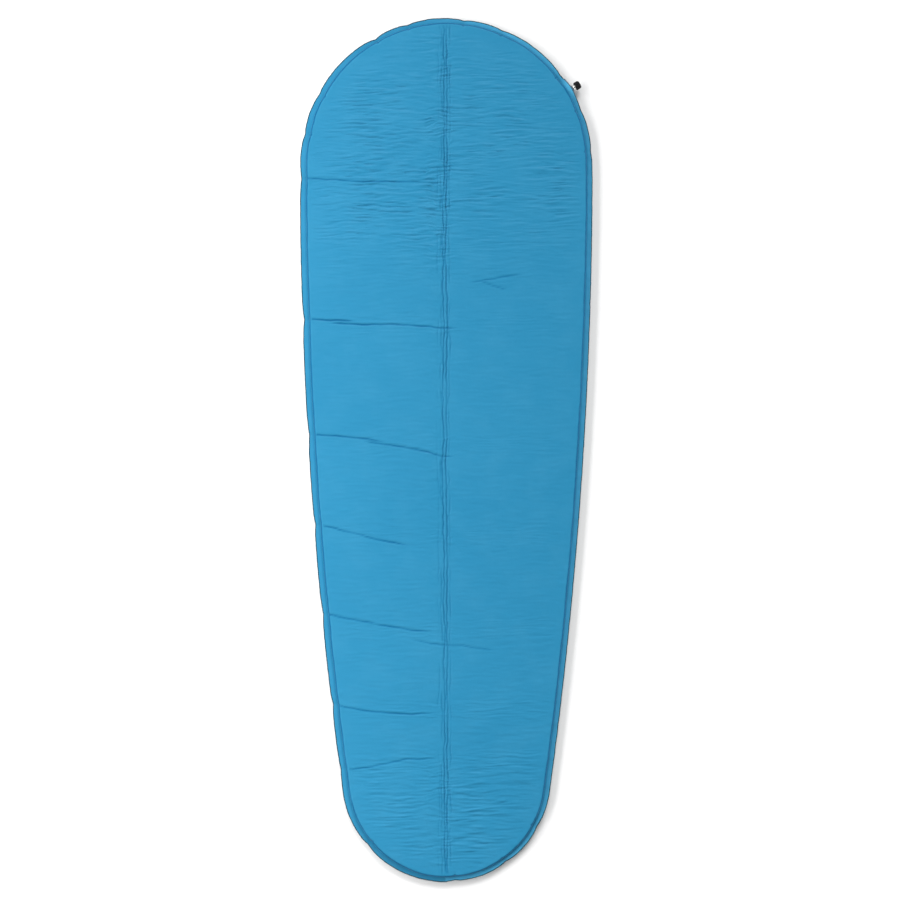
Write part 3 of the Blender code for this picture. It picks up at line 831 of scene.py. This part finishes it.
def valve_cap():
    """The twist cap: flutes outside, a rim round its mouth, a groove for the retaining ring."""
    outer, mouth, bore, groove_wall = 8.5, 2.5, 5.9, 7.1
    inside, floor, outside = 8.0, 18.2, 19.8
    flutes = 12
    sharp = 0.08
    points = [
        (mouth, outside - 0.5, 0.3),
        (mouth + 0.5, outside - 0.1, 0.3),
        (4.3, outside - 0.1, 0.3),
        (4.9, outside - 0.35, 0.3),
        (5.4, outside - 0.05, 0.3),
        (outer - 1.9, outside - 0.4, 0.9),
        (outer - 0.5, outside - 1.6, 0.9),
        *((outer, height, 0) for height in (16.2, 15.4, 14.4, 13.2, 12.0, 11.0, 10.2)),
        (outer - 0.3, inside + 0.8, 0.5),
        (outer - 1.1, inside, 0.4),
        (bore, inside, sharp),
        (bore, inside + 0.7, sharp),
        (groove_wall, inside + 0.7, sharp),
        (groove_wall, inside + 4.2, sharp),
        (bore, inside + 4.2, sharp),
        (bore, floor, sharp),
        (mouth, floor, sharp),
    ]

    def flute(r, h, angles):
        on_side = smooth(outer - 1.6, outer - 0.2, r)
        stop = smooth(inside + 0.9, inside + 2.2, h) * (1 - smooth(17.4, 18.9, h))
        wave = np.abs(np.cos(angles * flutes / 2)) ** 2.6
        ribs = 0.5 + 0.5 * np.cos(angles * flutes * 4)
        return r - on_side * stop * (0.85 * wave - 0.05 * ribs * (1 - wave))

    return turned("valve_cap_fluted", rounded(points), 288, flute)


def valve_tube():
    """Threaded land, neck with two grooves, knurled collar, tube and inner head."""
    tube, waist, collar, land, chamfer = 4.6, 4.45, 6.2, 5.6, 0.15
    points = [
        (3.5, 17.6, chamfer),
        (5.35, 17.6, chamfer),
        *((land - 0.4 * (i % 2), 17.3 - 0.3 * i, 0) for i in range(5)),
        (5.5, 15.6, chamfer),
        (tube, 15.6, chamfer),
        (tube, 8.2, 0),
        (tube, 7.6, 0),
        (waist, 7.4, 0),
        (tube, 7.2, 0),
        (tube, 6.4, 0),
        (waist, 6.2, 0),
        (tube, 6.0, 0),
        (tube, 4.3, 0.2),
        (5.5, 4.0, 0.1),
        (collar, 3.8, 0.1),
        (collar, 3.4, 0),
        (collar, 2.9, 0.1),
        (5.0, 2.8, 0.1),
        (5.0, -16.3, 0.1),
        (collar, -16.3, chamfer),
        (collar, -17.5, chamfer),
        (tube, -19.0, chamfer),
        (3.5, -19.0, chamfer),
    ]

    def knurl(r, h, angles):
        on_collar = smooth(5.9, 6.15, r) * (h > 0)
        return r - on_collar * 0.14 * (0.5 + 0.5 * np.cos(angles * 36))

    return turned("valve_tube", rounded(points), 216, knurl)


def valve_boot():
    """The weld-in boot: a lens between the sheets that swells into a round collar outside them."""
    along = np.array([-16.0, -15.4, -12, -8, -4, -1.2, -0.4, 0.5, 1.4, 2.0, 2.35, 2.5]) * MM
    steps = 96
    angle = np.arange(steps) * (2 * math.pi / steps)
    half_width = HEAD_RADIUS * math.sin(BOOT_ANGLE)
    collar = BOOT_HALF_HEIGHT - 0.3 * MM
    rings = []
    for reach in along:
        across = half_width * np.cos(angle) * np.abs(np.cos(angle)) ** 0.15
        lens = valve_lift(VALVE_RUN + across) - 0.25 * MM
        height = np.sign(np.sin(angle)) * lens * np.minimum(1, np.abs(np.sin(angle)) * 3.0)
        blend = smooth(-0.8 * MM, 1.6 * MM, reach)
        round_y = collar * np.cos(angle)
        round_z = collar * np.sin(angle)
        ease = 1 - 0.05 * smooth(1.9 * MM, 2.5 * MM, reach)
        y = (across * (1 - blend) + round_y * blend) * ease
        z = (height * (1 - blend) + round_z * blend) * ease
        drop = (HEAD_RADIUS - np.sqrt(HEAD_RADIUS**2 - y**2)) * (1 - blend)
        rings.append(np.stack([-z, y, reach - drop], axis=1))
    bore = 5.3 * MM
    for reach in (2.5 * MM, 1.0 * MM, -15.0 * MM, -16.0 * MM):
        ring = [-bore * np.sin(angle), bore * np.cos(angle), reach + 0 * angle]
        rings.append(np.stack(ring, axis=1))
    return ringed("valve_boot_moulded", rings)


# ---- materials


class Look:
    """A node material on a Principled shader, with short names for its nodes."""

    def __init__(self, name, roughness, **fixed):
        self.material = bpy.data.materials.new(name)
        self.material.use_nodes = True
        self.tree = self.material.node_tree
        self.shader = self.tree.nodes["Principled BSDF"]
        self.shader.inputs["Roughness"].default_value = roughness
        for socket, value in fixed.items():
            self.shader.inputs[socket.replace("_", " ")].default_value = value

    def link(self, value, socket):
        if isinstance(value, bpy.types.NodeSocket):
            self.tree.links.new(value, socket)
        elif value is not None:
            socket.default_value = value

    def node(self, kind, **inputs):
        """A new node, with its named inputs set or linked."""
        made = self.tree.nodes.new("ShaderNode" + kind)
        for name, value in inputs.items():
            self.link(value, made.inputs[name])
        return made

    def math(self, operation, a, b=None):
        node = self.node("Math")
        node.operation = operation
        self.link(a, node.inputs[0])
        self.link(b, node.inputs[1])
        return node.outputs[0]

    def place(self, kind="flat"):
        if kind == "flat":
            node = self.node("UVMap")
            node.uv_map = "flat"
            return node.outputs[0]
        return self.node("TexCoord").outputs["Object"]

    def stretched(self, place, scale):
        return self.node("Mapping", Vector=place, Scale=scale).outputs[0]

    def noise(self, place, scale, detail=3.0, roughness=0.5):
        node = self.node("TexNoise", Vector=place, Scale=scale, Detail=detail, Roughness=roughness)
        return node.outputs["Fac"]

    def cells(self, place, scale):
        return self.node("TexVoronoi", Vector=place, Scale=scale).outputs["Distance"]

    def ranged(self, value, low, high, to_low, to_high):
        node = self.node("MapRange")
        for socket, number in zip(node.inputs, (value, low, high, to_low, to_high)):
            self.link(number, socket)
        return node.outputs[0]

    def blend(self, share, first, second):
        node = self.node("Mix")
        node.data_type = "RGBA"
        self.link(share, node.inputs["Factor"])
        for socket, colour in ((node.inputs["A"], first), (node.inputs["B"], second)):
            self.link((*colour, 1.0) if isinstance(colour, tuple) else colour, socket)
        return node.outputs["Result"]

    def bump(self, height, distance, strength=1.0, normal=None):
        node = self.node("Bump", Strength=strength, Distance=distance, Height=height, Normal=normal)
        return node.outputs[0]

    def attribute(self, name):
        node = self.node("Attribute")
        node.attribute_name = name
        return node.outputs["Fac"]

    def weave(self, place, pitch):
        """Height from 0 to 1 of a plain weave with that thread pitch."""
        split = self.node("SeparateXYZ", Vector=place)
        across = self.math("MULTIPLY", split.outputs[0], 1 / pitch)
        along = self.math("MULTIPLY", split.outputs[1], 1 / pitch)
        crossing = self.math("ADD", self.math("FLOOR", across), self.math("FLOOR", along))
        over = self.math("PINGPONG", crossing, 1.0)
        threads = []
        for way, share in ((across, over), (along, self.math("SUBTRACT", 1.0, over))):
            wave = self.math("SINE", self.math("MULTIPLY", way, math.pi))
            threads.append(self.math("MULTIPLY", self.math("ABSOLUTE", wave), share))
        return self.math("ADD", *threads)

    def finish(self, colour=None, roughness=None, normal=None):
        self.link(colour, self.shader.inputs["Base Color"])
        self.link(roughness, self.shader.inputs["Roughness"])
        self.link(normal, self.shader.inputs["Normal"])
        return self.material


def coated_fabric(name, base, light, dark, pitch, sheen):
    """Woven fabric with a coating: clouded and mottled, with painted shade in its creases and along the
    weld line, and paled along its welded rim, partly as painted light where that rim lies in shade.
    """
    look = Look(name, 0.5, Sheen_Weight=sheen, Sheen_Roughness=0.4, Specular_IOR_Level=0.12)
    place = look.place()
    weave = look.weave(place, pitch)
    mottle = look.noise(place, 14.0, 4.0, 0.6)
    clouds = look.noise(place, 3.2, 2.0)
    threads = look.noise(look.stretched(place, (60.0, 900.0, 1.0)), 1.0, 2.0)
    colour = look.blend(look.ranged(clouds, 0.35, 0.65, 0.0, 0.5), base, dark)
    colour = look.blend(look.ranged(mottle, 0.45, 0.75, 0.0, 0.45), colour, light)
    between = tuple(0.7 * c for c in dark)
    colour = look.blend(look.ranged(weave, 0.0, 0.5, 0.25, 0.0), colour, between)
    # Painted shade: darker colour in the creases, the fold grooves and along the weld line
    crease = look.ranged(look.attribute("crease"), 0.03, 0.62, 0.0, 1.0)
    colour = look.blend(crease, colour, (0.0, 0.54 * dark[1], 0.66 * dark[2]))
    # The welded rim's own paler tone, with painted light added where the rim lies in shade on the right
    weld_pale_and_painted_light = look.ranged(look.attribute("weld_pale_and_painted_light"), 0.0, 1.0, 0.0, 0.9)
    colour = look.blend(weld_pale_and_painted_light, colour, (2.0 * light[0], 1.58 * light[1], 1.5 * light[2]))
    roughness = look.ranged(look.math("ADD", mottle, threads), 0.7, 1.3, 0.42, 0.56)
    crumple = look.noise(look.stretched(place, (22.0, 110.0, 1.0)), 1.0, 3.0, 0.55)
    normal = look.bump(crumple, 0.35 * MM, 0.35)
    normal = look.bump(threads, 0.05 * MM, 0.4, normal)
    normal = look.bump(weave, 0.06 * MM, 0.5, normal)
    return look.finish(colour, roughness, normal)


def open_cell_foam():
    look = Look("open_cell_foam", 0.9, Subsurface_Weight=0.15, Subsurface_Scale=0.003)
    place = look.place("object")
    cells = look.cells(place, 900.0)
    blotch = look.noise(place, 18.0, 3.0)
    share = look.ranged(blotch, 0.35, 0.7, 0.0, 1.0)
    colour = look.blend(share, (0.8, 0.76, 0.62), (0.88, 0.86, 0.78))
    colour = look.blend(look.ranged(cells, 0.0, 0.35, 0.5, 0.0), colour, (0.5, 0.46, 0.36))
    roughness = look.ranged(blotch, 0.3, 0.7, 0.85, 0.98)
    return look.finish(colour, roughness, look.bump(cells, 0.4 * MM, 0.8))


def moulded(name, base, worn, roughness, grain, gloss=0.5):
    """Moulded plastic or rubber with a fine spark-eroded grain and worn patches."""
    look = Look(name, roughness, Specular_IOR_Level=gloss)
    place = look.place("object")
    fine = look.noise(place, grain, 2.0)
    patches = look.noise(place, 260.0, 3.0)
    colour = look.blend(look.ranged(patches, 0.45, 0.75, 0.0, 0.6), base, worn)
    rough = look.ranged(patches, 0.3, 0.7, roughness - 0.07, roughness + 0.09)
    return look.finish(colour, rough, look.bump(fine, 0.03 * MM, 0.5))


def plated_metal():
    look = Look("plated_metal", 0.26, Metallic=1.0)
    place = look.place("object")
    smudge = look.noise(place, 240.0, 3.0)
    fine = look.noise(look.stretched(place, (900.0, 900.0, 3500.0)), 1.0, 2.0)
    share = look.ranged(smudge, 0.4, 0.7, 0.0, 1.0)
    colour = look.blend(share, (0.74, 0.73, 0.7), (0.55, 0.53, 0.5))
    roughness = look.ranged(smudge, 0.3, 0.7, 0.18, 0.36)
    return look.finish(colour, roughness, look.bump(fine, 0.01 * MM, 0.4))


def paint(made, material):
    made.data.materials.clear()
    made.data.materials.append(material)


def set_weld_pale_and_painted_light(made, low, high):
    """How far the fabric is paled along its edge, fading inward: the welded rim's own paler tone, with
    painted light added where the rim lies in shade on the right, so less on the left.
    """
    x, y, _ = coordinates(made.data).T
    inset, run = inset_and_run(x, y)
    weld_pale_and_painted_light = (1 - smooth(low, high, inset)) * (0.18 + 0.82 * smooth(-0.1, 0.15, run))
    store(made.data, "weld_pale_and_painted_light", weld_pale_and_painted_light)


# ---- the pad

# Base, light and dark
TOP_BLUES = ((0.023, 0.222, 0.396), (0.034, 0.245, 0.422), (0.018, 0.205, 0.374))
BOTTOM_BLUES = ((0.01, 0.06, 0.085), (0.018, 0.085, 0.115), (0.007, 0.046, 0.066))
CAP_BLACKS = ((0.005, 0.005, 0.006), (0.013, 0.013, 0.014))
top_look = coated_fabric("coated_top_fabric", *TOP_BLUES, 0.5 * MM, 0.02)
bottom_look = coated_fabric("coated_bottom_fabric", *BOTTOM_BLUES, 0.6 * MM, 0.08)
foam_look = open_cell_foam()
cap_look = moulded("moulded_black_plastic", *CAP_BLACKS, 0.42, 2500.0, 0.15)
plug_look = moulded("plug_plastic", (0.014, 0.014, 0.015), (0.028, 0.028, 0.03), 0.45, 2500.0)
boot_look = moulded("boot_elastomer", (0.024, 0.085, 0.14), (0.045, 0.12, 0.18), 0.5, 1800.0)
rubber_look = moulded("seal_rubber", (0.016, 0.016, 0.016), (0.035, 0.035, 0.035), 0.62, 3000.0)
metal_look = plated_metal()

CLOTH = settle_cloth()

top, top_area = top_sheet()
# pales the welded rim: its own paler tone, and painted light on the shaded right side
set_weld_pale_and_painted_light(top, 0.008, 0.0112)
paint(top, top_look)
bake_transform(top)
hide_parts("top_sheet_left", "top_sheet_right")

bottom, bottom_area = bottom_sheet()
# pales the bottom sheet's cut edge, partly painted light on the right side
set_weld_pale_and_painted_light(bottom, 0.0, 0.004)
paint(bottom, bottom_look)
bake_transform(bottom)
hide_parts("bottom_sheet_left", "bottom_sheet_right")

foam = foam_core()
paint(foam, foam_look)
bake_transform(foam)
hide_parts("foam_core_left", "foam_core_right")

cap = valve_cap()
paint(cap, cap_look)
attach(cap, "cap")
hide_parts("valve_cap")

tube = valve_tube()
paint(tube, metal_look)
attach(tube, "right_half")
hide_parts("valve_body")

boot = valve_boot()
paint(boot, boot_look)
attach(boot, "right_half")
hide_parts("valve_boot")

for node, look in (
    ("valve_plug", plug_look),
    ("plug_seal", rubber_look),
    ("cap_seal", rubber_look),
    ("cap_retaining_ring", plug_look),
):
    paint(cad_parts[node], look)

# ---- stage, light and camera


def floor():
    side = np.linspace(-4.0, 4.0, 25)  # 8 m square
    x, y = (part.ravel() for part in np.meshgrid(side, side))
    used = np.ones((len(side), len(side)), bool)
    _, quads = numbered(whole_cells(used), used, 0)
    points = np.stack([x, y, 0 * x - 0.2 * MM], axis=1)
    made = placed("floor", mesh_of("floor", points, quads.tolist()))
    look = Look("floor_paper", 0.95)
    grain = look.ranged(look.noise(look.place("object"), 400.0, 2.0), 0.3, 0.7, 0, 1)
    paint(made, look.finish(look.blend(grain, (0.96, 0.96, 0.96), (0.98, 0.98, 0.98))))


def light(name, kind, place, aim, power):
    data = bpy.data.lights.new(name, kind)
    data.energy = power
    made = placed(name, data)
    made.location = place
    made.rotation_euler = (Vector(aim) - Vector(place)).to_track_quat("-Z", "Y").to_euler()
    return data


floor()
key = light("key", "SUN", (0.25, 1.3, 1.1), (0.0, 0.0, 0.0), 2.0)
key.angle = math.radians(30)
# long strips of light beside the pad: name, x, height and power
for name, x, z, power in (("side", -0.9, 0.9, 35.0), ("fill", 1.5, 0.42, 19.0)):
    strip = light(name, "AREA", (x, 0.1, z), (0.0, 0.1, 0.0), power)
    strip.shape = "RECTANGLE"
    strip.size = 4.0
    strip.size_y = 0.6
world = bpy.data.worlds.new("studio")
world.use_nodes = True
background = world.node_tree.nodes["Background"].inputs
background["Color"].default_value = (1.0, 1.0, 1.0, 1.0)
background["Strength"].default_value = 0.2
scene = bpy.context.scene
scene.world = world
scene.view_settings.view_transform = "Standard"

camera = placed("camera", bpy.data.cameras.new("camera"))
camera.data.sensor_width = 36.0
camera.data.lens = 95.75  # from 5 m up, this and the shift in x place the pad as in the photo
camera.location = (0.0079, 0.0, 5.0)
scene.camera = camera
